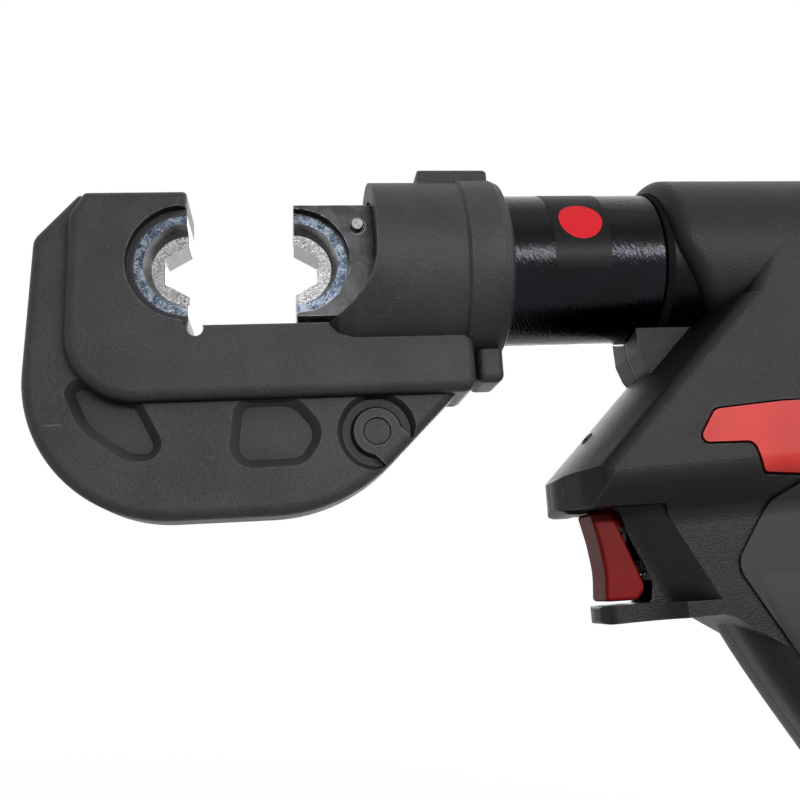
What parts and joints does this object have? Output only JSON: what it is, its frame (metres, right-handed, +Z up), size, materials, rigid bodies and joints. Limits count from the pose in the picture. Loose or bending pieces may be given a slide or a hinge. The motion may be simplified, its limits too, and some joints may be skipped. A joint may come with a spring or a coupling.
{
  "type": "hydraulic cable crimping tool",
  "caption": "Battery hydraulic crimper: swivelling C-shaped forged head, hexagon crimping dies, ram cylinder, pistol grip body with red trigger and slide-on battery.",
  "frame": {"origin": "crimp centre: middle of the fixed die's parting face, on the ram axis", "axes": "+X along the ram axis from the head towards the body, +Z up from the battery to the ram, -Y the pictured side"},
  "size_m": [0.4124, 0.0772, 0.3399],
  "materials": {
    "forged_black": "matt black blasted coating",
    "black_steel": "black oxide, turned",
    "die_zinc": "bright zinc plate, grainy",
    "plain_steel": "ground",
    "spring_steel": "drawn wire",
    "bronze": "machined",
    "seal_rubber": "smooth",
    "label_film": "dark film with a red disc",
    "shell_plastic": "fine moulded grain",
    "grip_rubber": "soft touch",
    "red_plastic": "satin moulded",
    "pump_aluminium": "anodised",
    "motor_steel": "plated can",
    "board_green": "lacquered board",
    "cell_wrap": "shrink wrap",
    "screw_steel": "black screws"
  },
  "bodies": {
    "body": {"housing_left": "shell_plastic", "housing_right": "shell_plastic", "nose_cap": "shell_plastic", "grip_sleeve": "grip_rubber", "swivel_ring": "shell_plastic", "pump_block": "pump_aluminium", "pump_plunger": "plain_steel", "gearbox": "pump_aluminium", "motor": "motor_steel", "reservoir": "seal_rubber", "release_valve": "pump_aluminium", "trigger_pin": "plain_steel", "trigger_spring": "spring_steel", "trigger_switch": "shell_plastic", "lever_pin": "plain_steel", "control_board": "board_green", "battery_shoe": "shell_plastic", "housing_screw_1": "screw_steel", "housing_screw_2": "screw_steel", "housing_screw_3": "screw_steel", "housing_screw_4": "screw_steel", "housing_screw_5": "screw_steel"},
    "head": {"c_frame": "forged_black", "frame_cross_pin": "forged_black", "fixed_die": "die_zinc", "fixed_button_bush": "black_steel", "fixed_button_spring": "spring_steel", "barrel": "black_steel", "barrel_label": "label_film", "gland_bush": "bronze", "rod_seal": "seal_rubber", "swivel_seal": "seal_rubber", "swivel_clip": "spring_steel", "return_spring": "spring_steel"},
    "fixed_button": {"fixed_die_button": "plain_steel"},
    "ram": {"ram_head": "black_steel", "ram_rod": "plain_steel", "moving_die": "die_zinc", "moving_button_bush": "black_steel", "moving_button_spring": "spring_steel", "piston_seal": "seal_rubber", "guide_band": "bronze"},
    "moving_button": {"moving_die_button": "plain_steel"},
    "drive": {"eccentric_shaft": "plain_steel"},
    "trigger": {"trigger": "red_plastic"},
    "lever": {"retract_lever": "red_plastic"},
    "battery": {"battery_case": "shell_plastic", "latch_spring": "spring_steel", "battery_cell_1": "cell_wrap", "battery_cell_2": "cell_wrap", "battery_cell_3": "cell_wrap", "battery_cell_4": "cell_wrap", "battery_cell_5": "cell_wrap"},
    "latch": {"battery_latch": "red_plastic"}
  },
  "joints": [
    {"name": "head_swivel", "type": "hinge", "parent": "body", "child": "head", "pos_m": [0.2, 0, 0], "axis": [1, 0, 0], "range_deg": [-175, 175]},
    {"name": "ram_stroke", "type": "slide", "parent": "head", "child": "ram", "axis": [-1, 0, 0], "range_m": [0, 0.0418], "stiffness_N_per_m": 1500, "springref_m": -0.02, "deforming": ["return_spring"]},
    {"name": "fixed_button_push", "type": "slide", "parent": "head", "child": "fixed_button", "axis": [0, -1, 0], "range_m": [0, 0.0025], "stiffness_N_per_m": 400, "springref_m": -0.004, "deforming": ["fixed_button_spring"]},
    {"name": "moving_button_push", "type": "slide", "parent": "ram", "child": "moving_button", "axis": [0, 1, 0], "range_m": [0, 0.0025], "stiffness_N_per_m": 400, "springref_m": -0.004, "deforming": ["moving_button_spring"]},
    {"name": "drive_spin", "type": "hinge", "parent": "body", "child": "drive", "pos_m": [0.2459, 0, 0], "axis": [1, 0, 0], "continuous": true},
    {"name": "trigger_pull", "type": "hinge", "parent": "body", "child": "trigger", "pos_m": [0.1669, 0, -0.0965], "axis": [0, -1, 0], "range_deg": [0, 8], "stiffness_Nm_per_rad": 0.6, "springref_deg": -8.59, "deforming": ["trigger_spring"]},
    {"name": "lever_press", "type": "hinge", "parent": "body", "child": "lever", "pos_m": [0.1984, -0.031, -0.0755], "axis": [0, 0, 1], "range_deg": [0, 5], "stiffness_Nm_per_rad": 0.5, "springref_deg": -8.59},
    {"name": "battery_slide", "type": "slide", "parent": "body", "child": "battery", "axis": [-1, 0, 0], "range_m": [0, 0.095]},
    {"name": "latch_press", "type": "slide", "parent": "battery", "child": "latch", "axis": [1, 0, 0], "range_m": [0, 0.003], "stiffness_N_per_m": 600, "springref_m": -0.003, "deforming": ["latch_spring"]}
  ]
}
